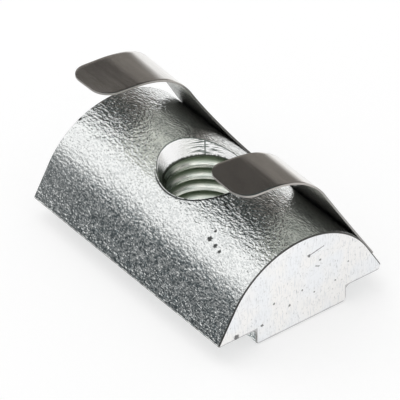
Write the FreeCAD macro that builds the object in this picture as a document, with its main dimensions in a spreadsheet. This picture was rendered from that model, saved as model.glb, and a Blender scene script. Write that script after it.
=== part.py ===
"""T slot nut with a leaf spring, for a 10 mm slot and an M8 screw.

Frame, in millimetres: X along the nut, Y across the slot, Z up out of the rib's bottom face.
The origin is the middle of that face, on the axis of the tapped hole. The spring's leg lies on
the +Y flank and its two fingers reach over the crown towards -Y.
"""
import FreeCAD, Part
import math
import os

import Sketcher

os.makedirs("parts", exist_ok=True)
doc = FreeCAD.newDocument("t_slot_nut")

# Driving dimensions: alias, value in millimetres or degrees, what it is
SIZES = (
    ("nut_length", 26.6, "saw cut to saw cut"),
    ("nut_width", 18.0, "across the two tips before they are rounded"),
    ("nut_height", 8.9, "rib's bottom face to the top of the crown"),
    ("flank_angle", 60.0, "flank against the shoulder, degrees"),
    ("rib_width", 9.8, "runs free between the lips of a 10 mm slot"),
    ("rib_height", 1.6, "rib's bottom face to the shoulders"),
    ("tip_round", 0.2, "round along each tip"),
    ("rib_round", 0.45, "round along each bottom edge of the rib"),
    ("shoulder_fillet", 0.4, "fillet along each corner between rib and shoulder"),
    ("bore_diameter", 6.8, "tapping hole of an M8 thread"),
    ("crown_sink_diameter", 9.0, "countersink's mouth where it meets the crown line"),
    ("crown_sink_angle", 60.0, "cone angle of the countersink at the crown, degrees"),
    ("rib_sink_diameter", 8.4, "lead-in chamfer's mouth in the rib"),
    ("rib_sink_angle", 90.0, "cone angle of the lead-in chamfer, degrees"),
    ("cutter_margin", 2.0, "how far the hole's cutter stands out of the nut"),
    ("spring_thickness", 0.2, "strip thickness"),
    ("spring_length", 24.0, "strip length along the nut"),
    ("spring_foot", 1.7, "tip corner to the strip's lower edge, up the flank"),
    ("spring_seat_gap", 0.0, "flank to strip: the leg lies face to face"),
    ("leg_length", 9.3, "straight part of the leg, from its lower edge to the bend"),
    ("bend_radius", 6.8, "inner radius of the bend over the crown"),
    ("finger_rise", 4.5, "slope of the finger after the bend, degrees"),
    ("finger_flat", 0.6, "straight part of the finger"),
    ("curl_radius", 22.0, "radius of the upward curl, on its upper side"),
    ("curl_angle", 8.0, "turn of the upward curl, degrees"),
    ("finger_width", 5.2, "width of one finger along the nut"),
    ("cut_bottom", 3.65, "tip corner to the bottom of the cut-out, up the flank"),
    ("finger_tip_round", 1.7, "round of the finger's corners, in the sheet"),
    ("foot_round", 0.8, "round of the leg's lower corners, in the sheet"),
)


def make_sheet():
    """Spreadsheet with one aliased cell for each driving dimension."""
    sheet = doc.addObject("Spreadsheet::Sheet", "Sizes")
    for row, (alias, value, meaning) in enumerate(SIZES, start=1):
        sheet.set(f"A{row}", meaning)
        sheet.set(f"B{row}", str(value))
        sheet.setAlias(f"B{row}", alias)
    doc.recompute()
    return sheet


sheet = make_sheet()


def point(x, y):
    return FreeCAD.Vector(x, y, 0)


def new_body(label):
    body = doc.addObject("PartDesign::Body", label)
    body.Label = label
    return body


def plane_sketch(body, role, name):
    """Empty sketch on one of the body's origin planes."""
    plane = next(item for item in body.Origin.OriginFeatures if item.Role == role)
    sketch = body.newObject("Sketcher::SketchObject", name)
    sketch.AttachmentSupport = [(plane, "")]
    sketch.MapMode = "FlatFace"
    return sketch


def drive(sketch, name, expression, *constraint):
    """Add a dimension to the sketch and bind it to the sheet."""
    index = sketch.addConstraint(Sketcher.Constraint(*constraint))
    sketch.renameConstraint(index, name)
    sketch.setExpression(f"Constraints.{name}", expression)


def tie(sketch, *constraint):
    sketch.addConstraint(Sketcher.Constraint(*constraint))


def edges_where(feature, test):
    """Names of the feature's edges that pass the test."""
    return [f"Edge{i}" for i, edge in enumerate(feature.Shape.Edges, start=1) if test(edge)]


def round_edges(body, name, base, test, expression):
    """Fillet on the edges of the last feature that pass the test."""
    doc.recompute()
    fillet = body.newObject("PartDesign::Fillet", name)
    fillet.Base = (base, edges_where(base, test))
    fillet.setExpression("Radius", expression)
    return fillet


# Sketch point positions, and a sketch's own origin and axes
START, END, CENTRE = 1, 2, 3
ORIGIN = (-1, START)
LEVEL_AXIS = -1
UP_AXIS = -2

# Lengths closer than this are the same
SAME = 1e-4


def nut_section(body):
    """Rib, shoulders, straight flanks and a crown arc tangent to both flanks."""
    sketch = plane_sketch(body, "YZ_Plane", "NutSection")
    half_rib = sheet.rib_width / 2
    half_width = sheet.nut_width / 2
    rib_height = sheet.rib_height
    angle = math.radians(sheet.flank_angle)
    rise = sheet.nut_height - rib_height
    radius = (half_width * math.sin(angle) - rise * math.cos(angle)) / (1 - math.cos(angle))
    crown_y = radius * math.sin(angle)
    crown_z = sheet.nut_height - radius + radius * math.cos(angle)
    outline = [
        (-half_rib, 0), (half_rib, 0), (half_rib, rib_height), (half_width, rib_height),
        (crown_y, crown_z), (-crown_y, crown_z), (-half_width, rib_height),
        (-half_rib, rib_height),
    ]
    bottom, side, shoulder, flank, crown, far_flank, far_shoulder, far_side = range(8)
    for i, start in enumerate(outline):
        end = outline[(i + 1) % len(outline)]
        if i == crown:
            circle = Part.Circle(point(0, sheet.nut_height - radius), FreeCAD.Vector(0, 0, 1), radius)
            sketch.addGeometry(Part.ArcOfCircle(circle, math.pi / 2 - angle, math.pi / 2 + angle))
        else:
            sketch.addGeometry(Part.LineSegment(point(*start), point(*end)))
    for i in range(len(outline)):
        following = (i + 1) % len(outline)
        if (i, following) == (flank, crown):
            tie(sketch, "Tangent", flank, END, crown, START)
        else:
            tie(sketch, "Coincident", i, END, following, START)
    tie(sketch, "Horizontal", shoulder)
    tie(sketch, "Vertical", side)
    tie(sketch, "PointOnObject", bottom, START, LEVEL_AXIS)
    tie(sketch, "Symmetric", bottom, START, bottom, END, UP_AXIS)
    tie(sketch, "Symmetric", side, END, far_side, START, UP_AXIS)
    tie(sketch, "Symmetric", flank, START, far_flank, END, UP_AXIS)
    tie(sketch, "Symmetric", flank, END, far_flank, START, UP_AXIS)
    apex = sketch.addGeometry(Part.Point(point(0, sheet.nut_height)), True)
    tie(sketch, "PointOnObject", apex, START, UP_AXIS)
    tie(sketch, "PointOnObject", apex, START, crown)
    drive(sketch, "rib_width", "Sizes.rib_width", "Distance", bottom, sheet.rib_width)
    drive(sketch, "rib_height", "Sizes.rib_height", "Distance", side, rib_height)
    drive(sketch, "shoulder", "(Sizes.nut_width - Sizes.rib_width) / 2", "Distance", shoulder,
          half_width - half_rib)
    drive(sketch, "flank", "180 - Sizes.flank_angle", "Angle", flank, math.pi - angle)
    drive(sketch, "height", "Sizes.nut_height", "DistanceY", *ORIGIN, apex, START, sheet.nut_height)
    return sketch


def hole_section(body):
    """Half section of the hole's cutter: lead-in cone, tapping bore and crown countersink."""
    sketch = plane_sketch(body, "XZ_Plane", "HoleSection")
    bore = sheet.bore_diameter / 2
    margin = sheet.cutter_margin
    crown_slope = math.tan(math.radians(sheet.crown_sink_angle / 2))
    rib_slope = math.tan(math.radians(sheet.rib_sink_angle / 2))
    low_end = (sheet.rib_sink_diameter / 2 - bore) / rib_slope
    high_end = sheet.nut_height - (sheet.crown_sink_diameter / 2 - bore) / crown_slope
    top = sheet.nut_height + margin
    outline = [
        (0, -margin), (bore + (low_end + margin) * rib_slope, -margin), (bore, low_end),
        (bore, high_end), (bore + (top - high_end) * crown_slope, top), (0, top),
    ]
    floor, rib_cone, wall, crown_cone, roof, axis = range(6)
    for i, start in enumerate(outline):
        sketch.addGeometry(Part.LineSegment(point(*start), point(*outline[(i + 1) % len(outline)])))
    for i in range(len(outline)):
        tie(sketch, "Coincident", i, END, (i + 1) % len(outline), START)
    for level in (floor, roof):
        tie(sketch, "Horizontal", level)
    tie(sketch, "Vertical", wall)
    tie(sketch, "PointOnObject", floor, START, UP_AXIS)
    tie(sketch, "PointOnObject", roof, END, UP_AXIS)
    drive(sketch, "below", "Sizes.cutter_margin", "DistanceY", floor, START, *ORIGIN, margin)
    drive(sketch, "above", "Sizes.nut_height + Sizes.cutter_margin", "DistanceY", *ORIGIN, roof, END, top)
    drive(sketch, "bore", "Sizes.bore_diameter / 2", "DistanceX", *ORIGIN, wall, START, bore)
    low_law = "(Sizes.rib_sink_diameter - Sizes.bore_diameter) / 2 / tan(Sizes.rib_sink_angle / 2 * 1 deg)"
    high_law = ("Sizes.nut_height - (Sizes.crown_sink_diameter - Sizes.bore_diameter) / 2"
                " / tan(Sizes.crown_sink_angle / 2 * 1 deg)")
    drive(sketch, "low_end", low_law, "DistanceY", *ORIGIN, wall, START, low_end)
    drive(sketch, "high_end", high_law, "DistanceY", *ORIGIN, wall, END, high_end)
    drive(sketch, "rib_cone", "90 + Sizes.rib_sink_angle / 2", "Angle", rib_cone,
          math.radians(90 + sheet.rib_sink_angle / 2))
    drive(sketch, "crown_cone", "90 - Sizes.crown_sink_angle / 2", "Angle", crown_cone,
          math.radians(90 - sheet.crown_sink_angle / 2))
    return sketch


def make_nut_body():
    """Steel bar of the nut's section, sawn to length, with its hole."""
    body = new_body("nut_body")
    section = nut_section(body)
    bar = body.newObject("PartDesign::Pad", "Bar")
    bar.Profile = section
    bar.SideType = "Symmetric"
    bar.setExpression("Length", "Sizes.nut_length")
    half_width = sheet.nut_width / 2
    half_rib = sheet.rib_width / 2

    def along(edge, y, z):
        box = edge.BoundBox
        lengthwise = box.XLength > sheet.nut_length / 2
        return lengthwise and abs(abs(box.Center.y) - y) < SAME and abs(box.Center.z - z) < SAME

    tips = round_edges(body, "TipRounds", bar, lambda e: along(e, half_width, sheet.rib_height),
                       "Sizes.tip_round")
    ribs = round_edges(body, "RibRounds", tips, lambda e: along(e, half_rib, 0), "Sizes.rib_round")
    fillets = round_edges(body, "ShoulderFillets", ribs, lambda e: along(e, half_rib, sheet.rib_height),
                          "Sizes.shoulder_fillet")
    doc.recompute()
    cutter = hole_section(body)
    hole = body.newObject("PartDesign::Groove", "TappedHole")
    hole.Profile = cutter
    hole.ReferenceAxis = (cutter, ["V_Axis"])
    hole.Angle = 360
    doc.recompute()
    assert hole.Shape.Volume < fillets.Shape.Volume, "the hole cuts nothing"
    return body


def strip_profile(body):
    """Section of the bent strip: leg, bend, finger and curl, one thickness apart."""
    sketch = plane_sketch(body, "YZ_Plane", "StripProfile")
    flank = math.radians(sheet.flank_angle)
    rise = math.radians(sheet.finger_rise)
    curl = math.radians(sheet.finger_rise + sheet.curl_angle)
    thickness = sheet.spring_thickness
    axis = FreeCAD.Vector(0, 0, 1)

    def heading(angle):
        """Direction along the strip, towards -Y, at a slope."""
        return point(-math.cos(angle), math.sin(angle))

    def outward(angle):
        """Direction out of the strip's outer side, at a slope."""
        return point(math.sin(angle), math.cos(angle))

    corner = point(sheet.nut_width / 2, sheet.rib_height)
    foot = corner + heading(flank) * sheet.spring_foot + outward(flank) * sheet.spring_seat_gap
    leg_end = foot + heading(flank) * sheet.leg_length
    bend_centre = leg_end - outward(flank) * sheet.bend_radius
    bend_end = bend_centre + outward(rise) * sheet.bend_radius
    flat_end = bend_end + heading(rise) * sheet.finger_flat
    curl_outer = sheet.curl_radius
    curl_inner = curl_outer + thickness
    curl_centre = flat_end + outward(rise) * curl_inner
    curl_end = curl_centre - outward(curl) * curl_inner

    def side(offset, bend_radius, curl_radius):
        """Leg line, bend arc, finger line and curl arc of one side of the strip."""
        step_leg = outward(flank) * offset
        step_finger = outward(rise) * offset
        pieces = (
            Part.LineSegment(foot + step_leg, leg_end + step_leg),
            Part.ArcOfCircle(Part.Circle(bend_centre, axis, bend_radius),
                             math.pi / 2 - flank, math.pi / 2 - rise),
            Part.LineSegment(bend_end + step_finger, flat_end + step_finger),
            Part.ArcOfCircle(Part.Circle(curl_centre, axis, curl_radius),
                             1.5 * math.pi - curl, 1.5 * math.pi - rise),
        )
        return [sketch.addGeometry(piece) for piece in pieces]

    leg, bend, finger, tip = side(0, sheet.bend_radius, curl_inner)
    out_leg, out_bend, out_finger, out_tip = side(thickness, sheet.bend_radius + thickness, curl_outer)
    lower = sketch.addGeometry(Part.LineSegment(foot, foot + outward(flank) * thickness))
    end = sketch.addGeometry(Part.LineSegment(curl_end, curl_end + outward(curl) * thickness))
    for a, b, c, d in ((leg, bend, finger, tip), (out_leg, out_bend, out_finger, out_tip)):
        tie(sketch, "Tangent", a, END, b, START)
        tie(sketch, "Tangent", b, END, c, START)
        tie(sketch, "Tangent", c, END, d, END)
    tie(sketch, "Coincident", lower, START, leg, START)
    tie(sketch, "Coincident", lower, END, out_leg, START)
    tie(sketch, "Coincident", end, START, tip, START)
    tie(sketch, "Coincident", end, END, out_tip, START)
    tie(sketch, "Coincident", bend, CENTRE, out_bend, CENTRE)
    tie(sketch, "Coincident", tip, CENTRE, out_tip, CENTRE)
    tie(sketch, "Parallel", leg, out_leg)
    tie(sketch, "Parallel", finger, out_finger)
    tie(sketch, "Perpendicular", lower, leg)
    tie(sketch, "PointOnObject", tip, CENTRE, end)
    seat_y = ("Sizes.nut_width / 2 - Sizes.spring_foot * cos(Sizes.flank_angle * 1 deg)"
              " + Sizes.spring_seat_gap * sin(Sizes.flank_angle * 1 deg)")
    seat_z = ("Sizes.rib_height + Sizes.spring_foot * sin(Sizes.flank_angle * 1 deg)"
              " + Sizes.spring_seat_gap * cos(Sizes.flank_angle * 1 deg)")
    drive(sketch, "seat_y", seat_y, "DistanceX", *ORIGIN, leg, START, foot.x)
    drive(sketch, "seat_z", seat_z, "DistanceY", *ORIGIN, leg, START, foot.y)
    drive(sketch, "leg_slope", "180 - Sizes.flank_angle", "Angle", leg, math.pi - flank)
    drive(sketch, "leg_length", "Sizes.leg_length", "Distance", leg, sheet.leg_length)
    drive(sketch, "thickness", "Sizes.spring_thickness", "Distance", lower, thickness)
    drive(sketch, "bend_radius", "Sizes.bend_radius", "Radius", bend, sheet.bend_radius)
    drive(sketch, "finger_slope", "180 - Sizes.finger_rise", "Angle", finger, math.pi - rise)
    drive(sketch, "finger_flat", "Sizes.finger_flat", "Distance", finger, sheet.finger_flat)
    drive(sketch, "curl_radius", "Sizes.curl_radius", "Radius", out_tip, curl_outer)
    drive(sketch, "tip_slope", "90 - Sizes.finger_rise - Sizes.curl_angle", "Angle", end,
          math.pi / 2 - curl)
    return sketch


# No finger reaches further up the leg's plane than the strip is long when flat
REACH_LAW = ("Sizes.spring_foot + Sizes.leg_length + Sizes.finger_flat"
             " + (Sizes.bend_radius + Sizes.spring_thickness) * Sizes.flank_angle * pi / 180"
             " + Sizes.curl_radius * Sizes.curl_angle * pi / 180")


def cut_outline(body):
    """Round-bottomed cut-out between the fingers, drawn in the plane of the leg."""
    sketch = plane_sketch(body, "XY_Plane", "CutOut")
    tilt = FreeCAD.Rotation(FreeCAD.Vector(1, 0, 0), 180 - sheet.flank_angle)
    tip_corner = FreeCAD.Vector(0, sheet.nut_width / 2, sheet.rib_height)
    sketch.AttachmentOffset = FreeCAD.Placement(tip_corner, tilt)
    sketch.setExpression("AttachmentOffset.Base.y", "Sizes.nut_width / 2")
    sketch.setExpression("AttachmentOffset.Base.z", "Sizes.rib_height")
    sketch.setExpression("AttachmentOffset.Rotation.Angle", "180 - Sizes.flank_angle")
    radius = sheet.spring_length / 2 - sheet.finger_width
    centre = sheet.cut_bottom + radius
    top = 2 * centre
    circle = Part.Circle(point(0, centre), FreeCAD.Vector(0, 0, 1), radius)
    arc = sketch.addGeometry(Part.ArcOfCircle(circle, math.pi, 2 * math.pi))
    corners = ((radius, centre), (radius, top), (-radius, top), (-radius, centre))
    sides = zip(corners, corners[1:])
    near, across, far = (sketch.addGeometry(Part.LineSegment(point(*a), point(*b))) for a, b in sides)
    tie(sketch, "Tangent", arc, END, near, START)
    tie(sketch, "Tangent", far, END, arc, START)
    tie(sketch, "Coincident", near, END, across, START)
    tie(sketch, "Coincident", across, END, far, START)
    tie(sketch, "Horizontal", across)
    tie(sketch, "Vertical", near)
    tie(sketch, "PointOnObject", arc, CENTRE, UP_AXIS)
    drive(sketch, "radius", "Sizes.spring_length / 2 - Sizes.finger_width", "Radius", arc, radius)
    drive(sketch, "centre", "Sizes.cut_bottom + Sizes.spring_length / 2 - Sizes.finger_width",
          "DistanceY", *ORIGIN, arc, CENTRE, centre)
    drive(sketch, "reach", REACH_LAW, "DistanceY", *ORIGIN, near, END, top)
    return sketch


def make_leaf_spring():
    """Strip bent from sheet, cut out between its fingers, with rounded corners."""
    body = new_body("leaf_spring")
    profile = strip_profile(body)
    strip = body.newObject("PartDesign::Pad", "Strip")
    strip.Profile = profile
    strip.SideType = "Symmetric"
    strip.setExpression("Length", "Sizes.spring_length")
    doc.recompute()
    outline = cut_outline(body)
    cut = body.newObject("PartDesign::Pocket", "FingerGap")
    cut.Profile = outline
    cut.SideType = "Symmetric"
    cut.Type = "ThroughAll"
    doc.recompute()
    assert cut.Shape.Volume < strip.Shape.Volume, "the cut-out cuts nothing"

    def corner(edge, above_crown):
        """True for an edge through the sheet's thickness, at the fingers' tips or at the foot."""
        straight = edge.Curve.TypeId == "Part::GeomLine"
        through = straight and abs(edge.Length - sheet.spring_thickness) < SAME
        return through and (edge.BoundBox.Center.z > sheet.nut_height) == above_crown

    tips = round_edges(body, "TipCorners", cut, lambda e: corner(e, True), "Sizes.finger_tip_round")
    round_edges(body, "FootCorners", tips, lambda e: corner(e, False), "Sizes.foot_round")
    return body


pieces = [make_nut_body(), make_leaf_spring()]
doc.recompute()

failed = [item.Label for item in doc.Objects if {"Invalid", "Error"} & set(item.State)]
assert not failed, f"failed objects: {failed}"
for piece in pieces:
    assert not piece.Shape.isNull() and piece.Shape.isValid(), f"bad shape: {piece.Label}"
    assert len(piece.Shape.Solids) == 1, f"not one solid: {piece.Label}"
for piece in pieces:
    piece.Shape.exportStep(f"parts/{piece.Label}.step")
    print(piece.Label, round(piece.Shape.Volume, 3), piece.Shape.BoundBox)
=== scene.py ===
"""T slot nut with a leaf spring: detailed meshes, surfaces, light and camera.

The meshes are written in millimetres and placed in metres. Frame: X along the nut, Y across the
slot, Z up out of the rib's bottom face, origin on the axis of the tapped hole.
"""
import math

import bmesh
import bpy
from mathutils import Matrix, Vector


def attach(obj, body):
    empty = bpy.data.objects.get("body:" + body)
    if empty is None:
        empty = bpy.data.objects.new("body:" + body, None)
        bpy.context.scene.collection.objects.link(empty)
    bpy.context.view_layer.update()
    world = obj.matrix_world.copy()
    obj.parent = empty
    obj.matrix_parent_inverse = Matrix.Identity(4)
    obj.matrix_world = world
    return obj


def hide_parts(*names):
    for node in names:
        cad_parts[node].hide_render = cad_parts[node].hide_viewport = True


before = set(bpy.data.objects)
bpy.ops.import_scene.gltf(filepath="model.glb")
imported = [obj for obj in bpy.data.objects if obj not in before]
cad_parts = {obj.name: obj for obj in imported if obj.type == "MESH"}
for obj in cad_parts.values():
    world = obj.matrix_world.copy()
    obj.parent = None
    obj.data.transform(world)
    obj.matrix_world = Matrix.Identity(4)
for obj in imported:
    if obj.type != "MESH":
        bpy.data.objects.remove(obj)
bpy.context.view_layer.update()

MM = 0.001

# Nut
NUT_LENGTH = 26.6
NUT_WIDTH = 18.0
NUT_HEIGHT = 8.9
FLANK_ANGLE = math.radians(60)
RIB_WIDTH = 9.8
RIB_HEIGHT = 1.6
TIP_ROUNDS = {1: 0.45, -1: 0.2}
RIB_ROUND = 0.45
SHOULDER_FILLET = 0.4
END_BREAK = 0.11

# The crown's arc runs into both flanks without a corner
CROWN_RADIUS = (
    (NUT_WIDTH / 2 * math.sin(FLANK_ANGLE) - (NUT_HEIGHT - RIB_HEIGHT) * math.cos(FLANK_ANGLE))
    / (1 - math.cos(FLANK_ANGLE)))

# Tapped hole, M8
BORE_RADIUS = 3.4
ROOT_RADIUS = 4.0
PITCH = 1.25
THREAD_TOP = 7.35
THREAD_RUN_OUT = 0.4
CROWN_SINK_START = 7.115
CROWN_SINK_SLOPE = math.tan(math.radians(30))
CROWN_SINK_OFFSET = (-0.21, -0.08)
RIB_SINK_START = 0.8

# Leaf spring
STRIP_THICKNESS = 0.18
STRIP_LENGTH = 24.0
STRIP_FOOT = 1.7
LEG_LENGTH = 9.3
# Each finger: side, then for its inner and outer edge the leg, the bend's radius, the slope where it
# eases, the radius from there, the slope of the flat and its length
FINGERS = (
    (1, (LEG_LENGTH + 0.3, 6.3, 20, 9.0, 6.0, 3.23), (LEG_LENGTH + 0.06, 6.3, 20, 9.0, 4.5, 3.1)),
    (-1, (LEG_LENGTH - 0.1, 6.2, 20, 9.5, 6.0, 3.78), (LEG_LENGTH + 0.62, 4.7, 15, 14.3, 4.0, 3.35)),
)
FINGER_WIDTH = 5.2
CUT_BOTTOM = 3.95
CUT_RADIUS = STRIP_LENGTH / 2 - FINGER_WIDTH
FINGER_TIP_ROUND = 1.7
FOOT_ROUND = 0.8
FOOT_FLARE = 1.1
EDGE_BREAK = 0.04
# Lines along the rolling direction: how they are drawn out, and their depth
ROLLED = (0.12, 4.0, 4.0)
ROLLED_DEPTH = 0.0012

# Order of the materials on the nut and on the spring
SKIN, SAWN, BROKEN, SINK, THREAD = range(5)
OUTER, SHEARED, INNER = range(3)

# Colours of the nut
ZINC = (0.91, 0.925, 0.915)
ZINC_FLECK = (0.24, 0.28, 0.29)
# Pits, and the painted shade outside the countersink's near rim
PIT_AND_RIM_SHADE = (0.07, 0.073, 0.072)
# Darker along the lower edge of the tips
LOW_EDGE_DARK = (0.2, 0.19, 0.18)
SAW_WARM = (0.985, 0.975, 0.96)
SAW_COOL = (0.95, 0.965, 0.985)
SAW_STROKE = (0.82, 0.83, 0.84)
SAW_SPECK = (0.62, 0.62, 0.61)
SAW_TICK = (0.5, 0.51, 0.53)
SAW_BURR = (0.4, 0.4, 0.4)
SAW_SHADE = (0.3, 0.3, 0.31)
SAW_PIT = (0.22, 0.22, 0.22)
EDGE_LIGHT = (0.42, 0.42, 0.41)
EDGE_DARK = (0.1, 0.1, 0.095)
SINK_BRIGHT = (1.0, 1.0, 1.0)
SINK_DARK = (0.14, 0.165, 0.15)
# Painted shade at the foot of the countersink
SINK_FOOT_SHADE = (0.055, 0.063, 0.05)
THREAD_CREST = (0.97, 0.98, 0.91)
THREAD_DULL = (0.64, 0.7, 0.64)
# Painted shade in the thread's grooves, over a greenish tint
GREEN_GROOVE_SHADE = (0.34, 0.4, 0.3)
THREAD_SHADE = (0.16, 0.19, 0.16)

# Colours of the spring
STRIP_STEEL = (0.86, 0.845, 0.82)
STRIP_INNER = (0.95, 0.96, 0.88)
# Painted shade low on the inner side of the leg
LEG_SHADE = (0.2, 0.2, 0.185)
SHEAR_BRIGHT = (0.47, 0.445, 0.42)
# Painted shade on the sheared edge towards the leg, darkest around the cut-out
SHEAR_SHADE = (0.36, 0.35, 0.34)
SHEAR_CUT_SHADE = (0.13, 0.125, 0.12)

# Colours of the studio
WHITE = (1, 1, 1)
WARM_WHITE = (1, 0.99, 0.97)
PALE_GREY = (0.8, 0.79, 0.78)
MID_GREY = (0.27, 0.265, 0.26)
COOL_GREY = (0.145, 0.154, 0.158)
WARM_PAPER = (0.2, 0.186, 0.172)
WARM_DARK = (0.072, 0.066, 0.061)
COOL_DARK = (0.054, 0.066, 0.065)
NO_FADE = (0, 0.001)

# Camera, fitted to the photo's outline: the direction towards it, its aim in millimetres, its distance
# in metres and its roll in degrees
TOWARDS_CAMERA = (0.6355, -0.4747, 0.6089)
CAMERA_AIM = (-0.785, -0.057, 4.77)
CAMERA_DISTANCE = 0.4583
CAMERA_ROLL = -1.0
CAMERA_LENS = 477.7
CAMERA_SENSOR = 36


def link_mesh(name, mesh):
    obj = bpy.data.objects.new(name, mesh)
    bpy.context.scene.collection.objects.link(obj)
    return obj


def mesh_from(name, vertices, faces):
    """Closed mesh from points in millimetres, its faces turned outwards."""
    mesh = bpy.data.meshes.new(name)
    mesh.from_pydata([Vector(v) * MM for v in vertices], [], faces)
    bm = bmesh.new()
    bm.from_mesh(mesh)
    bmesh.ops.recalc_face_normals(bm, faces=bm.faces)
    bm.to_mesh(mesh)
    bm.free()
    return mesh


def arc(centre, radius, start, end, count):
    """Points on an arc, angles in degrees, both ends included."""
    steps = (math.radians(start + (end - start) * i / count) for i in range(count + 1))
    return [(centre[0] + radius * math.cos(a), centre[1] + radius * math.sin(a)) for a in steps]


def between(a, b, count):
    """Points inside a straight piece, its ends left out."""
    return [(a[0] + (b[0] - a[0]) * i / count, a[1] + (b[1] - a[1]) * i / count)
            for i in range(1, count)]


def nut_outline():
    """The nut's section in Y and Z, once round."""
    half_rib = RIB_WIDTH / 2
    half_width = NUT_WIDTH / 2
    flank = math.degrees(FLANK_ANGLE)
    rib = arc((half_rib - RIB_ROUND, RIB_ROUND), RIB_ROUND, -90, 0, 8)
    inner = arc((half_rib + SHOULDER_FILLET, RIB_HEIGHT - SHOULDER_FILLET), SHOULDER_FILLET, 180, 90, 8)
    crown = arc((0, NUT_HEIGHT - CROWN_RADIUS), CROWN_RADIUS, 90 - flank, 90, 60)

    def half(tip_round):
        set_back = tip_round / math.tan(FLANK_ANGLE / 2)
        tip = arc((half_width - set_back, RIB_HEIGHT + tip_round), tip_round, -90, 90 - flank, 8)
        return (rib + between(rib[-1], inner[0], 4) + inner + between(inner[-1], tip[0], 8) + tip
                + between(tip[-1], crown[0], 8) + crown)

    mirrored = [(-y, z) for y, z in reversed(half(TIP_ROUNDS[-1])[:-1])]
    return half(TIP_ROUNDS[1]) + mirrored + between(mirrored[-1], rib[0], 20)


def inset(outline, depth):
    """Outline moved inwards along its own normals."""
    moved = []
    for i, (y, z) in enumerate(outline):
        before, after = Vector(outline[i - 1]), Vector(outline[(i + 1) % len(outline)])
        along = (after - before).normalized()
        moved.append((y - along.y * depth, z + along.x * depth))
    return moved


def bar_mesh():
    """Sawn bar: rings of the section along X, broken edges and flat ends."""
    outline = nut_outline()
    small = inset(outline, END_BREAK)
    half = NUT_LENGTH / 2
    inside = half - END_BREAK
    steps = 54
    rings = [(-half, small)]
    rings += [(-inside + 2 * inside * i / steps, outline) for i in range(steps + 1)]
    rings.append((half, small))
    count = len(outline)
    vertices = [(x, y, z) for x, ring in rings for y, z in ring]
    faces = []
    for ring in range(len(rings) - 1):
        for i in range(count):
            following = (i + 1) % count
            a, b = ring * count, (ring + 1) * count
            faces.append((a + i, a + following, b + following, b + i))
    last = (len(rings) - 1) * count
    faces.append(tuple(range(count)))
    faces.append(tuple(range(last, last + count)))
    return mesh_from("bar", vertices, faces)


def cone_mesh(name, low, high, offset=(0, 0), count=144):
    """Truncated cone between two (radius, height) pairs."""
    vertices = []
    for radius, height in (low, high):
        for i in range(count):
            a = 2 * math.pi * i / count
            vertices.append((offset[0] + radius * math.cos(a), offset[1] + radius * math.sin(a), height))
    faces = [(i, (i + 1) % count, count + (i + 1) % count, count + i) for i in range(count)]
    faces.append(tuple(range(count)))
    faces.append(tuple(range(count, 2 * count)))
    return mesh_from(name, vertices, faces)


def tap_mesh(count=96):
    """Right-hand screw that cuts the thread, its rows running along the helix."""
    flank = (ROOT_RADIUS - BORE_RADIUS) * math.tan(math.radians(30))
    root = PITCH / 8
    crest = PITCH - 2 * flank - root
    soft = 0.05
    profile = [
        (0.0, BORE_RADIUS + soft), (soft, BORE_RADIUS), (crest - soft, BORE_RADIUS),
        (crest, BORE_RADIUS + soft), (crest + flank, ROOT_RADIUS), (crest + flank + root, ROOT_RADIUS),
    ]
    pitches = 11
    bottom = -1.85
    rows = [(bottom + PITCH * n + step, radius) for n in range(pitches) for step, radius in profile]
    vertices = []
    for height, radius in rows:
        for i in range(count):
            a = 2 * math.pi * i / count
            z = height + PITCH * i / count
            depth = (radius - BORE_RADIUS) * min(max((THREAD_TOP - z) / THREAD_RUN_OUT, 0.0), 1.0)
            away = BORE_RADIUS + depth
            vertices.append((away * math.cos(a), away * math.sin(a), z))
    shift = len(profile)

    def at(row, i):
        """Index of a point; once round, a row goes on in the row one pitch up."""
        return row * count + i if i < count else (row + shift) * count

    faces = []
    last = len(rows) - shift - 1
    for row in range(last):
        for i in range(count):
            faces.append((at(row, i), at(row, i + 1), at(row + 1, i + 1), at(row + 1, i)))
    for start, height in ((0, bottom - 1), (last, bottom + PITCH * pitches + 1)):
        centre = len(vertices)
        vertices.append((0, 0, height))
        rim = [at(start, i) for i in range(count)]
        rim += [at(start + step, 0) for step in range(shift, 0, -1)]
        for a, b in zip(rim, rim[1:] + rim[:1]):
            faces.append((a, b, centre))
    used = sorted({v for face in faces for v in face})
    place = {old: new for new, old in enumerate(used)}
    return mesh_from("tap", [vertices[v] for v in used], [tuple(place[v] for v in f) for f in faces])


def clean_lead_in(mesh):
    """Takes out the empty faces that the cut leaves where the thread meets the lead-in."""
    bm = bmesh.new()
    bm.from_mesh(mesh)
    margin = 0.1
    top = (RIB_SINK_START + margin) * MM
    reach = (BORE_RADIUS + RIB_SINK_START) * MM
    edges = [e for e in bm.edges
             if all(v.co.z < top and math.hypot(v.co.x, v.co.y) < reach for v in e.verts)]
    bmesh.ops.dissolve_degenerate(bm, dist=1e-7, edges=edges)
    bm.to_mesh(mesh)
    bm.free()


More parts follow.
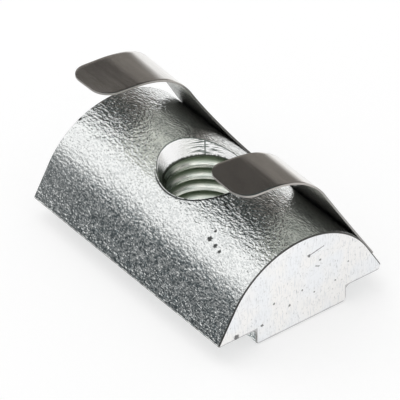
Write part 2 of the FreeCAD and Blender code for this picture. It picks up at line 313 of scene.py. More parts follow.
def nut_mesh():
    """Bar with the countersink, the lead-in and the thread cut out of it."""
    nut = link_mesh("nut", bar_mesh())
    # Each cone runs past the surface it cuts, and inside the bore
    crown_low, crown_high = CROWN_SINK_START - 2.4, NUT_HEIGHT + 2
    rib_low, rib_high = -1.5, RIB_SINK_START + 1.2

    def crown_radius(z):
        return BORE_RADIUS + (z - CROWN_SINK_START) * CROWN_SINK_SLOPE

    def rib_radius(z):
        return BORE_RADIUS + RIB_SINK_START - z

    cutters = [
        link_mesh("tap", tap_mesh()),
        link_mesh("crown_sink", cone_mesh("crown_sink", (crown_radius(crown_low), crown_low),
                                          (crown_radius(crown_high), crown_high), CROWN_SINK_OFFSET)),
        link_mesh("rib_sink", cone_mesh("rib_sink", (rib_radius(rib_low), rib_low),
                                        (rib_radius(rib_high), rib_high))),
    ]
    for cutter in cutters:
        cut = nut.modifiers.new(cutter.name, "BOOLEAN")
        cut.operation = "DIFFERENCE"
        cut.solver = "EXACT"
        cut.object = cutter
    bpy.context.view_layer.update()
    mesh = bpy.data.meshes.new_from_object(nut.evaluated_get(bpy.context.evaluated_depsgraph_get()))
    mesh.name = "nut_body_detail"
    clean_lead_in(mesh)
    for obj in [nut] + cutters:
        data = obj.data
        bpy.data.objects.remove(obj)
        bpy.data.meshes.remove(data)
    return mesh


def smooth(mesh, degrees):
    mesh.shade_smooth()
    mesh.set_sharp_from_angle(angle=math.radians(degrees))


def heading(angle):
    """Direction along the strip, towards -Y, at a slope."""
    return Vector((-math.cos(angle), math.sin(angle)))


def outward(angle):
    """Direction out of the strip's outer side, at a slope."""
    return Vector((math.sin(angle), math.cos(angle)))


def strip_path(leg, bend, ease_start, ease_radius, rise, flat):
    """Y, Z and slope of the strip's inner side at a length from its foot, and the whole length."""
    place = Vector((NUT_WIDTH / 2, RIB_HEIGHT)) + heading(FLANK_ANGLE) * STRIP_FOOT
    slope, start, runs = FLANK_ANGLE, 0.0, []
    turns = ((bend, math.radians(ease_start)), (ease_radius, math.radians(rise)))
    for radius, amount in ((0, leg), *turns, (0, flat)):
        runs.append((start, place, slope, radius))
        if radius:
            place = place + (outward(amount) - outward(slope)) * radius
            start += (slope - amount) * radius
            slope = amount
        else:
            place = place + heading(slope) * amount
            start += amount

    def station(length):
        begin, first, tilt, radius = [run for run in runs if run[0] <= length][-1]
        if not radius:
            return first + heading(tilt) * (length - begin), tilt
        turned = tilt - (length - begin) / radius
        return first + (outward(turned) - outward(tilt)) * radius, turned

    return station, start


def strip_lengths(total):
    """Where the strip is sampled: closer along its rounded corners and the bottom of the cut-out."""
    cut_start = CUT_BOTTOM - STRIP_FOOT
    corner_steps, leg_steps, cut_steps = 12, 6, 40
    quarter = [math.pi / 2 * i / corner_steps for i in range(corner_steps + 1)]
    lengths = [FOOT_ROUND * (1 - math.cos(a)) for a in quarter]
    lengths += [FOOT_ROUND + (cut_start - FOOT_ROUND) * i / leg_steps for i in range(1, leg_steps)]
    # The first rows up the cut-out are left out, because they would be too thin
    cut = [math.pi / 2 * i / cut_steps for i in (0, *range(4, cut_steps + 1))]
    lengths += [cut_start + CUT_RADIUS * (1 - math.cos(a)) for a in cut]
    body_end = total - FINGER_TIP_ROUND
    begin = lengths[-1]
    steps = 44
    lengths += [begin + (body_end - begin) * i / steps for i in range(1, steps)]
    lengths += [body_end + FINGER_TIP_ROUND * math.sin(a) for a in quarter]
    return lengths


def corner_set_back(distance, radius):
    """How far a rounded corner draws the edge in, at a distance from the end."""
    if distance >= radius:
        return 0.0
    return radius - math.sqrt(max(radius ** 2 - (radius - distance) ** 2, 0.0))


def finger_half(side, inner_edge, outer_edge, columns=18):
    """One half of the strip: rows of points across it for both faces, from foot to tip."""
    station, total = strip_path(*inner_edge)
    outer_station, outer_total = strip_path(*outer_edge)
    rounding = 1e-6
    past_bend = LEG_LENGTH + 3
    flare_curve = 1.5
    leg_direction = heading(FLANK_ANGLE)
    origin = Vector((NUT_WIDTH / 2, RIB_HEIGHT))
    rows = []
    for length in strip_lengths(total):
        place, slope = station(length)
        outer_place, outer_slope = outer_station(length * outer_total / total)
        up_leg = (place - origin).dot(leg_direction)
        below = CUT_BOTTOM + CUT_RADIUS - up_leg
        if length > past_bend or below <= 0:
            inner = CUT_RADIUS
        elif below >= CUT_RADIUS - rounding:
            inner = 0.0
        else:
            inner = math.sqrt(CUT_RADIUS ** 2 - below ** 2)
        tip = corner_set_back(total - length, FINGER_TIP_ROUND)
        flare = FOOT_FLARE * max(1 - length / LEG_LENGTH, 0.0) ** flare_curve
        outer = STRIP_LENGTH / 2 + flare - max(tip, corner_set_back(length, FOOT_ROUND))
        if inner > 0:
            inner += tip
        row = []
        for i in range(columns + 1):
            across = inner + (outer - inner) * i / columns
            share = max((across - CUT_RADIUS) / FINGER_WIDTH, 0.0)
            low = place.lerp(outer_place, share)
            high = low + outward(slope + (outer_slope - slope) * share) * STRIP_THICKNESS
            row.append(((side * across, low.x, low.y), (side * across, high.x, high.y)))
        rows.append(row)
    return rows


def rim_of(grid):
    """The points round a grid, once round."""
    return ([row[-1] for row in grid] + grid[-1][-2::-1] + [row[0] for row in reversed(grid[:-1])]
            + grid[0][1:-1])


def spring_mesh():
    """Strip bent over the crown. Its fingers are bent a little differently, as in the photo."""
    bm = bmesh.new()
    for rows in [finger_half(*finger) for finger in FINGERS]:
        grids = [[[bm.verts.new(Vector(place[layer]) * MM) for place in row] for row in rows]
                 for layer in (0, 1)]
        for grid, material in zip(grids, (INNER, OUTER)):
            for low, high in zip(grid, grid[1:]):
                for i in range(len(low) - 1):
                    face = bm.faces.new((low[i], low[i + 1], high[i + 1], high[i]))
                    face.material_index = material
        rim, rim_top = (rim_of(grid) for grid in grids)
        for i in range(len(rim)):
            following = (i + 1) % len(rim)
            joins_other_half = all(abs(v.co.x) < 1e-9 for v in (rim[i], rim[following]))
            if not joins_other_half:
                face = bm.faces.new((rim[i], rim[following], rim_top[following], rim_top[i]))
                face.material_index = SHEARED
    bmesh.ops.remove_doubles(bm, verts=bm.verts, dist=1e-8)
    bmesh.ops.recalc_face_normals(bm, faces=bm.faces)
    corner = math.radians(60)
    sharp = [e for e in bm.edges if len(e.link_faces) == 2 and e.calc_face_angle() > corner]
    # Thin rows hold the broken edge back to less than its full width
    bmesh.ops.bevel(bm, geom=sharp, offset=EDGE_BREAK * MM, segments=2, profile=0.5, affect="EDGES",
                    clamp_overlap=True)
    mesh = bpy.data.meshes.new("leaf_spring_detail")
    bm.to_mesh(mesh)
    bm.free()
    return mesh


# Shader helpers

def plug(tree, socket, value):
    if isinstance(value, bpy.types.NodeSocket):
        tree.links.new(value, socket)
    else:
        socket.default_value = value


def node(tree, kind, inputs=None, **settings):
    """New node with its settings, and values or links for its inputs by name or number."""
    item = tree.nodes.new(kind)
    for name, value in settings.items():
        setattr(item, name, value)
    for key, value in (inputs or {}).items():
        plug(tree, item.inputs[key], value)
    return item


def maths(tree, operation, a, b=0.0, clamp=False):
    return node(tree, "ShaderNodeMath", {0: a, 1: b}, operation=operation, use_clamp=clamp).outputs[0]


def plus(tree, a, b):
    return maths(tree, "ADD", a, b)


def minus(tree, a, b):
    return maths(tree, "SUBTRACT", a, b)


def times(tree, a, b):
    return maths(tree, "MULTIPLY", a, b)


def vectors(tree, operation, a, b=(0, 0, 0), output="Vector"):
    return node(tree, "ShaderNodeVectorMath", {0: a, 1: b}, operation=operation).outputs[output]


def stretch(tree, vector, factors):
    return vectors(tree, "MULTIPLY", vector, factors)


def split(tree, vector):
    """X, Y and Z of a vector."""
    return node(tree, "ShaderNodeSeparateXYZ", {0: vector}).outputs


def pair(tree, x, y):
    """Vector of two values."""
    return node(tree, "ShaderNodeCombineXYZ", {0: x, 1: y}).outputs[0]


def noise(tree, vector, scale, detail=2.0, roughness=0.5):
    item = node(tree, "ShaderNodeTexNoise",
                {"Vector": vector, "Scale": scale, "Detail": detail, "Roughness": roughness})
    return item.outputs["Fac"]


def ramp(tree, value, low, high, start=0.0, end=1.0):
    """Smooth step from start to end while value goes from low to high."""
    item = node(tree, "ShaderNodeMapRange", {"Value": value, "From Min": low, "From Max": high,
                                             "To Min": start, "To Max": end},
                interpolation_type="SMOOTHSTEP")
    return item.outputs[0]


def mix(tree, factor, a, b):
    """Colour a where the factor is 0 and b where it is 1."""
    item = node(tree, "ShaderNodeMix", data_type="RGBA")
    for socket, value in ((0, factor), (6, a), (7, b)):
        full = value if isinstance(value, (float, bpy.types.NodeSocket)) else (*value, 1)
        plug(tree, item.inputs[socket], full)
    return item.outputs[2]


def most(tree, masks):
    """Highest of several masks."""
    result = masks[0]
    for mask in masks[1:]:
        result = maths(tree, "MAXIMUM", result, mask)
    return result


def new_group(name, inputs, outputs):
    """Empty node group with sockets given as name: type."""
    tree = bpy.data.node_groups.new(name, "ShaderNodeTree")
    for label, kind in inputs.items():
        tree.interface.new_socket(label, in_out="INPUT", socket_type="NodeSocket" + kind)
    for label, kind in outputs.items():
        tree.interface.new_socket(label, in_out="OUTPUT", socket_type="NodeSocket" + kind)
    return tree, tree.nodes.new("NodeGroupInput").outputs, tree.nodes.new("NodeGroupOutput").inputs


def use(tree, group, **inputs):
    """First output of a node group."""
    item = tree.nodes.new("ShaderNodeGroup")
    item.node_tree = group
    for key, value in inputs.items():
        plug(tree, item.inputs[key], value)
    return item.outputs[0]


def millimetres_group():
    """Point on the piece in millimetres."""
    tree, _, out = new_group("millimetres", {}, {"Point": "Vector"})
    place = node(tree, "ShaderNodeTexCoord").outputs["Object"]
    plug(tree, out[0], stretch(tree, place, (1 / MM, 1 / MM, 1 / MM)))
    return tree


def spot_group():
    """Ragged round mark of a radius about a point."""
    tree, given, out = new_group("spot", {"Point": "Vector", "Centre": "Vector", "Radius": "Float"},
                                 {"Mask": "Float"})
    away = vectors(tree, "DISTANCE", given["Point"], given["Centre"], "Value")
    share = maths(tree, "DIVIDE", away, given["Radius"])
    wander = minus(tree, noise(tree, given["Point"], 6.0), 0.5)
    share = plus(tree, share, times(tree, wander, 1.6))
    plug(tree, out[0], ramp(tree, share, 1.0, 0.6))
    return tree


def stroke_group():
    """Thin scratch from one point to another, uneven in width."""
    tree, given, out = new_group(
        "stroke", {"Point": "Vector", "Start": "Vector", "End": "Vector", "Width": "Float"},
        {"Mask": "Float"})
    line = vectors(tree, "SUBTRACT", given["End"], given["Start"])
    offset = vectors(tree, "SUBTRACT", given["Point"], given["Start"])
    square = vectors(tree, "DOT_PRODUCT", line, line, "Value")
    reached = vectors(tree, "DOT_PRODUCT", offset, line, "Value")
    along = maths(tree, "DIVIDE", reached, square, clamp=True)
    nearest = node(tree, "ShaderNodeVectorMath", {0: line}, operation="SCALE")
    plug(tree, nearest.inputs["Scale"], along)
    away = vectors(tree, "DISTANCE", offset, nearest.outputs[0], "Value")
    share = maths(tree, "DIVIDE", away, given["Width"])
    wander = minus(tree, noise(tree, given["Point"], 5.0), 0.5)
    share = plus(tree, share, times(tree, wander, 2.0))
    plug(tree, out[0], ramp(tree, share, 1.0, 0.4))
    return tree


def rolled_lines_group():
    """Faint lines along the rolling direction of the strip."""
    tree, given, out = new_group("rolled_lines", {"Point": "Vector", "Roughness": "Float"},
                                 {"Lines": "Float"})
    drawn = stretch(tree, given["Point"], ROLLED)
    plug(tree, out[0], noise(tree, drawn, 1.0, detail=3.0, roughness=given["Roughness"]))
    return tree


GROUPS = {"millimetres": millimetres_group(), "spot": spot_group(), "stroke": stroke_group(),
          "rolled_lines": rolled_lines_group()}


def new_metal(name, colour, roughness):
    """Metal with its tree, its shader and its points in millimetres."""
    material = bpy.data.materials.new(name)
    material.use_nodes = True
    tree = material.node_tree
    shader = tree.nodes["Principled BSDF"].inputs
    shader["Metallic"].default_value = 1.0
    shader["Base Color"].default_value = (*colour, 1)
    shader["Roughness"].default_value = roughness
    return material, tree, shader, use(tree, GROUPS["millimetres"])


def relief(tree, shader, height, depth):
    """Small relief from a height map, with the depth in millimetres of a height of one."""
    bump = node(tree, "ShaderNodeBump", {"Height": height, "Strength": 1.0, "Distance": depth * MM})
    plug(tree, shader["Normal"], bump.outputs[0])


def marks(tree, point, spots, strokes):
    """Mask of the pits and scratches at their places."""
    masks = [use(tree, GROUPS["spot"], Point=point, Centre=centre, Radius=radius)
             for centre, radius in spots]
    masks += [use(tree, GROUPS["stroke"], Point=point, Start=start, End=end, Width=width)
              for start, end, width in strokes]
    return most(tree, masks)


def skin_material():
    """Rolled skin under zinc: grain drawn out along the bar, dark flecks that are weakened in a painted
    highlight band, pits, painted shade outside the countersink's near rim, and darker along the lower
    edge of the tips.
    """
    material, tree, shader, point = new_metal("zinc_skin", (0.8, 0.81, 0.8), 0.28)
    drawn = stretch(tree, point, (0.68, 1.0, 1.0))
    coarse = noise(tree, drawn, 4.6, detail=1.0)
    fine = noise(tree, drawn, 10.0, detail=1.0)
    specks = noise(tree, drawn, 6.5, roughness=0.6)
    blotches = noise(tree, drawn, 2.4, detail=1.0)
    wave = noise(tree, drawn, 1.4, detail=1.0)
    parts = split(tree, point)
    height = plus(tree, times(tree, coarse, 0.8), times(tree, fine, 0.2))
    height = plus(tree, height, times(tree, wave, 0.6))
    height = minus(tree, height, 0.8)
    foot = RIB_HEIGHT + TIP_ROUNDS[-1]
    up_flank = ramp(tree, parts[2], foot, foot + 0.5, 0.1, 1.0)
    relief(tree, shader, times(tree, height, up_flank), depth=0.1)
    plug(tree, shader["Roughness"], ramp(tree, coarse, 0.3, 0.7, 0.16, 0.1))
    # Painted highlight: the grain's dark flecks are weakened between heights of 5.2 and 7.7 mm, where
    # the bright reflection lies, and towards the far end
    off_painted_highlight = maths(tree, "MAXIMUM", ramp(tree, parts[2], 6.7, 5.2, 0.3, 1.0),
                     ramp(tree, parts[2], 7.7, 8.7, 0.3, 0.5))
    off_painted_highlight = times(tree, off_painted_highlight, ramp(tree, parts[0], -12.0, -4.0, 0.6, 1.0))
    patchy = plus(tree, times(tree, specks, 0.75), times(tree, blotches, 0.25))
    flecks = times(tree, ramp(tree, patchy, 0.56, 0.42), off_painted_highlight)
    grain = mix(tree, flecks, ZINC, ZINC_FLECK)
    pits = marks(tree, point, (
        ((6.8, -4.74, 7.41), 0.3), ((6.67, -4.06, 7.84), 0.16), ((7.71, -4.89, 7.3), 0.24),
        ((8.46, -5.03, 7.2), 0.22), ((-13.2, -3.75, 8.0), 0.3),
    ), (
        ((4.9, -1.75, 8.71), (5.75, -1.95, 8.67), 0.07),
    ))
    level = stretch(tree, point, (1, 1, 0))
    from_sink = vectors(tree, "SUBTRACT", level, (*CROWN_SINK_OFFSET, 0))
    rim = times(tree, minus(tree, parts[2], CROWN_SINK_START), CROWN_SINK_SLOPE)
    outside = minus(tree, vectors(tree, "LENGTH", from_sink, output="Value"),
                    plus(tree, rim, BORE_RADIUS))
    ragged = plus(tree, outside, times(tree, specks, 0.08))
    near_side = (0.5, -0.87, 0)
    nearer = vectors(tree, "DOT_PRODUCT", from_sink, near_side, "Value")
    # Painted shade: a dark band just outside the countersink's rim, on its near side
    near_rim_shade = times(tree, ramp(tree, ragged, 0.08, 0.12), ramp(tree, ragged, 0.3, 0.24))
    near_rim_shade = times(tree, near_rim_shade, ramp(tree, nearer, 1.0, 2.5))
    dark = maths(tree, "MAXIMUM", pits, times(tree, near_rim_shade, ramp(tree, parts[2], 4.0, 5.0)))
    # Darker towards the bottom, along the lower edge of the tips
    low_edge = ramp(tree, plus(tree, parts[2], times(tree, coarse, 0.3)), foot + 0.3, foot + 0.05)
    low_edge = times(tree, low_edge, ramp(tree, maths(tree, "ABSOLUTE", parts[1]), 7.8, 8.3))
    grain = mix(tree, low_edge, grain, LOW_EDGE_DARK)
    plug(tree, shader["Base Color"], mix(tree, dark, grain, PIT_AND_RIM_SHADE))
    return material


def sawn_material():
    """Saw-cut end: fine upright lines, pits and scratches."""
    material, tree, shader, point = new_metal("sawn_end", (0.9, 0.91, 0.92), 0.42)
    lines = noise(tree, stretch(tree, point, (1.0, 12.0, 1.5)), 1.0, roughness=0.6)
    patches = noise(tree, point, 0.9)
    relief(tree, shader, lines, depth=0.012)
    tint = noise(tree, point, 0.3, detail=1.0)
    ground = mix(tree, ramp(tree, tint, 0.4, 0.6), SAW_WARM, SAW_COOL)
    ticks = times(tree, ramp(tree, lines, 0.38, 0.28), ramp(tree, patches, 0.42, 0.6))
    strokes = noise(tree, stretch(tree, point, (1.0, 9.0, 1.2)), 1.0, roughness=0.7)
    ground = mix(tree, ramp(tree, strokes, 0.5, 0.3), ground, SAW_STROKE)
    specks = noise(tree, point, 4.0, roughness=0.6)
    ground = mix(tree, ramp(tree, specks, 0.42, 0.28, 0.0, 0.6), ground, SAW_SPECK)
    ground = mix(tree, ticks, ground, SAW_TICK)
    parts = split(tree, point)
    across = maths(tree, "ABSOLUTE", parts[1])
    low = plus(tree, parts[2], times(tree, patches, 0.12))
    half_rib = RIB_WIDTH / 2
    burr_top, burr_full = END_BREAK + 0.24, END_BREAK + 0.1
    burr = most(tree, (
        ramp(tree, low, burr_top, burr_full),
        times(tree, ramp(tree, low, RIB_HEIGHT + burr_top, RIB_HEIGHT + burr_full),
              ramp(tree, across, half_rib - END_BREAK - 0.1, half_rib - END_BREAK)),
    ))
    ground = mix(tree, times(tree, burr, 0.7), ground, SAW_BURR)
    ground = mix(tree, ramp(tree, parts[1], -3.0, 8.0, 0.0, 0.1), ground, SAW_SHADE)
    end = NUT_LENGTH / 2
    spots = ((0.81, 6.89, 0.2), (2.03, 5.88, 0.12), (1.38, 2.72, 0.12), (-2.95, 3.55, 0.14),
             (-1.29, 2.57, 0.14), (-7.0, 1.96, 0.34), (3.67, 2.88, 0.1), (0.06, 3.52, 0.1),
             (-4.25, 1.85, 0.16), (5.07, 4.22, 0.1))
    wear = marks(tree, point, [((end, y, z), radius) for y, z, radius in spots], (
        ((end, 0.81, 6.89), (end, 2.39, 7.19), 0.07),
        ((end, 1.5, 5.45), (end, 1.95, 5.25), 0.06),
    ))
    plug(tree, shader["Base Color"], mix(tree, wear, ground, SAW_PIT))
    return material


def edge_material():
    """Broken edge of the saw cut, dark where it faces up."""
    material, tree, shader, point = new_metal("broken_edge", (0.3, 0.3, 0.3), 0.45)
    normal = node(tree, "ShaderNodeNewGeometry").outputs["Normal"]
    upward = split(tree, normal)[2]
    ragged = plus(tree, upward, times(tree, noise(tree, point, 3.0), 0.3))
    facing_up = ramp(tree, ragged, 0.05, 0.3)
    plug(tree, shader["Base Color"], mix(tree, facing_up, EDGE_LIGHT, EDGE_DARK))
    return material


def sink_material():
    """Countersink: rings of the cutter, chatter on its far side, a dark rim, painted shade at its foot,
    and painted shade on its near side with a painted highlight line through it.
    """
    material, tree, shader, point = new_metal("countersink", SINK_BRIGHT, 0.25)
    # Angles about the hole, in radians
    far_side, scratch, shaded_side = 2.45, 2.5, -1.85
    parts = split(tree, point)
    angle = maths(tree, "ARCTAN2", parts[1], parts[0])
    unrolled = pair(tree, times(tree, angle, 2.5), times(tree, parts[2], 9.0))
    rings = noise(tree, unrolled, 1.0, roughness=0.6)
    relief(tree, shader, rings, depth=0.01)
    off_side = maths(tree, "ABSOLUTE", minus(tree, angle, far_side))
    chatter = times(tree, ramp(tree, rings, 0.52, 0.44), ramp(tree, off_side, 0.55, 0.15))
    line = ramp(tree, maths(tree, "ABSOLUTE", minus(tree, angle, scratch)), 0.022, 0.008)
    teeth = noise(tree, pair(tree, times(tree, angle, 20.0), times(tree, parts[2], 3.0)), 1.0)
    # Painted shade at the foot of the countersink, where it drops into the thread
    foot = plus(tree, parts[2], times(tree, teeth, 0.3))
    foot = times(tree, ramp(tree, foot, 7.6, 7.5), ramp(tree, parts[2], 4.0, 5.0))
    shade = ramp(tree, maths(tree, "ABSOLUTE", minus(tree, angle, shaded_side)), 0.8, 0.55)
    crown = minus(tree, CROWN_RADIUS ** 2, times(tree, parts[1], parts[1]))
    crown = plus(tree, maths(tree, "SQRT", crown), NUT_HEIGHT - CROWN_RADIUS)
    below = minus(tree, crown, parts[2])
    glint = ramp(tree, maths(tree, "ABSOLUTE", minus(tree, below, 0.25)), 0.05, 0.11)
    shade = times(tree, shade, glint)
    rim = ramp(tree, plus(tree, below, times(tree, teeth, 0.1)), 0.17, 0.11)
    dark = most(tree, (chatter, line, times(tree, shade, 0.85), rim))
    # Chatter and the scratch are tool marks; the near side's darkening is painted shade, with a painted
    # highlight line through it
    worn_and_shaded = mix(tree, dark, SINK_BRIGHT, SINK_DARK)
    plug(tree, shader["Base Color"], mix(tree, foot, worn_and_shaded, SINK_FOOT_SHADE))
    return material


def thread_material():
    """Tapped thread, greenish and dull in the grooves with painted shade there, and painted shade on one
    side.
    """
    material, tree, shader, point = new_metal("thread", (0.8, 0.84, 0.79), 0.25)
    parts = split(tree, point)
    radius = vectors(tree, "LENGTH", stretch(tree, point, (1, 1, 0)), output="Value")
    lines = noise(tree, pair(tree, times(tree, radius, 9.0), times(tree, parts[2], 9.0)), 1.0)
    relief(tree, shader, lines, depth=0.012)
    angle = maths(tree, "ARCTAN2", parts[1], parts[0])
    climb = minus(tree, parts[2], times(tree, angle, PITCH / (2 * math.pi)))
    along_helix = pair(tree, times(tree, angle, 2.2), times(tree, climb, 7.0))
    streaks = noise(tree, along_helix, 1.0, detail=3.0, roughness=0.6)
    crest = mix(tree, ramp(tree, streaks, 0.38, 0.6), THREAD_DULL, THREAD_CREST)
    near_crest, near_root = 3.45, 3.85
    # Painted shade in the grooves, over their greenish tint
    colour = mix(tree, ramp(tree, radius, near_crest, near_root), crest, GREEN_GROOVE_SHADE)
    shaded_side = -2.0  # angle about the hole, in radians
    turned = maths(tree, "ABSOLUTE", minus(tree, angle, shaded_side))
    shaded = ramp(tree, turned, 1.15, 0.7)
    plug(tree, shader["Base Color"], mix(tree, shaded, colour, THREAD_SHADE))
    plug(tree, shader["Roughness"], ramp(tree, radius, near_crest, near_root, 0.22, 0.45))
    return material


def strip_material(name, colour, roughness):
    """Cold-rolled strip with faint lines along the rolling direction and faint, soft stains."""
    material, tree, shader, point = new_metal(name, colour, roughness)
    lines = use(tree, GROUPS["rolled_lines"], Point=point, Roughness=0.6)
    relief(tree, shader, lines, depth=ROLLED_DEPTH)
    plug(tree, shader["Roughness"], ramp(tree, lines, 0.3, 0.7, roughness * 0.8, roughness * 1.3))
    stains = noise(tree, stretch(tree, point, (0.4, 1.1, 1.1)), 1.0)
    stained = tuple(0.9 * c for c in colour)
    plug(tree, shader["Base Color"], mix(tree, ramp(tree, stains, 0.25, 0.72), stained, colour))
    return material


def sheared_material():
    """Sheared edge of the strip: bright, with painted shade towards the leg, darkest around the cut-out.
    """
    material, tree, shader, point = new_metal("sheared_edge", (0.6, 0.58, 0.55), 0.4)
    parts = split(tree, point)
    # Painted shade: darker towards the leg (+Y), darkest around the cut-out
    leg_side_shade = ramp(tree, plus(tree, parts[1], noise(tree, point, 2.0)), 2.5, 4.5)
    cut = times(tree, leg_side_shade, ramp(tree, maths(tree, "ABSOLUTE", parts[0]), 9.0, 8.0))
    bright = mix(tree, leg_side_shade, SHEAR_BRIGHT, SHEAR_SHADE)
    plug(tree, shader["Base Color"], mix(tree, cut, bright, SHEAR_CUT_SHADE))
    return material


def inner_strip_material():
    """Inner side of the strip: dull under the fingers, with painted shade low on the leg."""
    material, tree, shader, point = new_metal("strip_inner", (0.9, 0.9, 0.84), 0.2)
    height = split(tree, point)[2]
    # Painted shade low on the leg's inner side, between the leg and the nut
    leg_shade = ramp(tree, plus(tree, height, noise(tree, point, 0.8)), 12.0, 9.5)
    plug(tree, shader["Base Color"], mix(tree, leg_shade, STRIP_INNER, LEG_SHADE))
    plug(tree, shader["Metallic"], 0.48)
    lines = use(tree, GROUPS["rolled_lines"], Point=point, Roughness=0.5)
    relief(tree, shader, lines, depth=ROLLED_DEPTH)
    return material


def sort_faces(mesh):
    """Gives each face of the nut its material: skin, sawn end, edge, countersink or thread."""
    half = NUT_LENGTH / 2 * MM
    on_end, on_break = half - 1e-7, half - END_BREAK * MM * 0.9
    hole_reach, turned_in, on_cone = 6.5, -0.2, 0.02
    for face in mesh.polygons:
        centre = face.center / MM
        away = math.hypot(centre.x, centre.y)
        outwards = face.normal.x * centre.x + face.normal.y * centre.y
        inwards = away > 0 and outwards / away < turned_in
        from_sink = math.hypot(centre.x - CROWN_SINK_OFFSET[0], centre.y - CROWN_SINK_OFFSET[1])
        if abs(face.center.x) > on_end:
            kind = SAWN
        elif abs(face.center.x) > on_break:
            kind = BROKEN
        elif away < hole_reach and inwards:
            sunk = from_sink - BORE_RADIUS - (centre.z - CROWN_SINK_START) * CROWN_SINK_SLOPE
            lead = away - BORE_RADIUS - RIB_SINK_START + centre.z
            kind = SINK if abs(sunk) < on_cone or abs(lead) < on_cone else THREAD
        else:
            kind = SKIN
        face.material_index = kind


def build_part():
    """Both pieces with their materials, in place of the CAD nodes."""
    nut = link_mesh("nut_body_visual", nut_mesh())
    nut_looks = skin_material, sawn_material, edge_material, sink_material, thread_material
    for look in nut_looks:
        nut.data.materials.append(look())
    sort_faces(nut.data)
    smooth(nut.data, degrees=28)
    spring = link_mesh("leaf_spring_visual", spring_mesh())
    spring.data.materials.append(strip_material("strip_steel", STRIP_STEEL, roughness=0.15))
    spring.data.materials.append(sheared_material())
    spring.data.materials.append(inner_strip_material())
    smooth(spring.data, degrees=40)
    for piece, name, slot in ((nut, "nut_body", "zinc_plated_steel"),
                              (spring, "leaf_spring", "bright_spring_steel")):
        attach(piece, "root")
        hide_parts(name)


def flat_mesh(name, width, height):
    w, h = width / 2, height / 2
    mesh = bpy.data.meshes.new(name)
    mesh.from_pydata([(-w, -h, 0), (w, -h, 0), (w, h, 0), (-w, h, 0)], [], [(0, 1, 2, 3)])
    return mesh


def card_material(name, colour, foot_colour, fade):
    """Glow that turns from one colour to another between two levels of the card."""
    material = bpy.data.materials.new(name)
    material.use_nodes = True
    tree = material.node_tree
    tree.nodes.clear()
    upright = node(tree, "ShaderNodeTexCoord").outputs["Generated"]
    level = split(tree, upright)[1]
    glow = mix(tree, ramp(tree, level, *fade), foot_colour, colour)
    light = node(tree, "ShaderNodeEmission", {"Color": glow})
    plug(tree, tree.nodes.new("ShaderNodeOutputMaterial").inputs["Surface"], light.outputs[0])
    return material


def direction(azimuth, elevation):
    a, e = math.radians(azimuth), math.radians(elevation)
    return Vector((math.cos(a) * math.cos(e), math.sin(a) * math.cos(e), math.sin(e)))


def facing(azimuth, elevation, distance):
    """Place on a sphere about the part, looking at it."""
    out = direction(azimuth, elevation)
    return Matrix.Translation(out * distance) @ out.to_track_quat("Z", "Y").to_matrix().to_4x4()


def only_in_metal(card):
    card.visible_camera = card.visible_diffuse = card.visible_shadow = False
    card.visible_transmission = card.visible_volume_scatter = False


def studio_card(name, azimuths, elevations, colour, foot_colour=None, fade=NO_FADE):
    """Card that only shows in the metal, between two azimuths and two elevations in degrees."""
    reach = 0.5
    azimuth, elevation = sum(azimuths) / 2, sum(elevations) / 2
    spans = azimuths[1] - azimuths[0], elevations[1] - elevations[0]
    size = [2 * reach * math.tan(math.radians(span) / 2) for span in spans]
    card = link_mesh(name, flat_mesh(name, size[0] * math.cos(math.radians(elevation)), size[1]))
    card.matrix_world = facing(azimuth, elevation, reach)
    card.data.materials.append(card_material(name, colour, foot_colour or colour, fade))
    only_in_metal(card)


def side_card(name, span, y, heights, colour, foot_colour=None, fade=NO_FADE):
    """Upright card close beside the part, along X, that only shows in the metal."""
    card = link_mesh(name, flat_mesh(name, span[1] - span[0], heights[1] - heights[0]))
    card.matrix_world = (Matrix.Translation((sum(span) / 2, y, sum(heights) / 2))
                         @ Matrix.Rotation(math.pi / 2, 4, "X"))
    card.data.materials.append(card_material(name, colour, foot_colour or colour, fade))
    only_in_metal(card)


def seen_rays(tree):
    """1 for the rays that show a background to the eye, in metal and through glass."""
    rays = node(tree, "ShaderNodeLightPath").outputs
    return most(tree, [rays[f"Is {kind} Ray"] for kind in ("Camera", "Glossy", "Transmission")])


def floor_material():
    """White paper that keeps a light shadow."""
    material = bpy.data.materials.new("floor_paper")
    material.use_nodes = True
    tree = material.node_tree
    tree.nodes.clear()
    paper = node(tree, "ShaderNodeBsdfDiffuse", {"Color": (0.5, 0.5, 0.5, 1)})
    glow = node(tree, "ShaderNodeEmission", {"Strength": times(tree, seen_rays(tree), 0.56)})
    both = node(tree, "ShaderNodeAddShader", {0: paper.outputs[0], 1: glow.outputs[0]})
    plug(tree, tree.nodes.new("ShaderNodeOutputMaterial").inputs["Surface"], both.outputs[0])
    return material


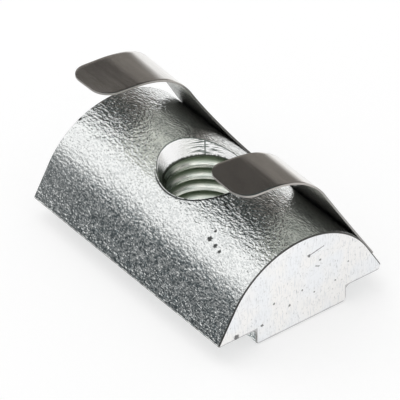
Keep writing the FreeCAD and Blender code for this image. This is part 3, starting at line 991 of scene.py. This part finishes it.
def build_studio():
    """Pale floor, white surroundings, soft light and cards, and the camera of the photo."""
    scene = bpy.context.scene
    scene.view_settings.view_transform = "Standard"

    floor = link_mesh("floor", flat_mesh("floor", 6.0, 6.0))
    floor.data.materials.append(floor_material())

    scene.world = bpy.data.worlds.new("studio")
    scene.world.use_nodes = True
    tree = scene.world.node_tree
    back = tree.nodes["Background"].inputs
    back["Color"].default_value = (*WHITE, 1)
    plug(tree, back["Strength"], ramp(tree, seen_rays(tree), 0.0, 1.0, 0.7, 1.0))

    lamp = bpy.data.lights.new("softbox", "AREA")
    lamp.size = 0.5
    lamp.energy = 0.9
    softbox = bpy.data.objects.new("softbox", lamp)
    scene.collection.objects.link(softbox)
    softbox.matrix_world = facing(190, 62, 0.6)
    softbox.visible_glossy = False

    studio_card("back_flag", (98, 180), (28, 42), WARM_DARK)
    studio_card("high_flag", (98, 183), (42, 62), COOL_DARK)
    studio_card("back_paper", (98, 172), (0.5, 28), WARM_PAPER, WHITE, (0, 0.5))
    studio_card("top_flag", (98, 183), (62, 82), COOL_DARK)
    side_card("left_flag", (-0.06, 0.03), -0.016, (0.0008, 0.0132), WHITE, COOL_GREY, (0.15, 1.5))
    side_card("right_card", (-0.03, 0.01), 0.03, (0.005, 0.024), WARM_PAPER, WARM_WHITE, (0.02, 0.53))
    studio_card("side_flag", (24, 92), (20, 58), MID_GREY, PALE_GREY, (0, 0.8))

    back_vector = Vector(TOWARDS_CAMERA).normalized()
    aim = Vector(CAMERA_AIM) * MM
    roll = Matrix.Rotation(math.radians(CAMERA_ROLL), 4, "Z")
    camera = bpy.data.objects.new("camera", bpy.data.cameras.new("camera"))
    camera.data.sensor_width = CAMERA_SENSOR
    camera.data.lens = CAMERA_LENS
    camera.data.clip_start = 0.01
    camera.matrix_world = (Matrix.Translation(aim + back_vector * CAMERA_DISTANCE)
                           @ back_vector.to_track_quat("Z", "Y").to_matrix().to_4x4() @ roll)
    scene.collection.objects.link(camera)
    scene.camera = camera


build_part()
build_studio()
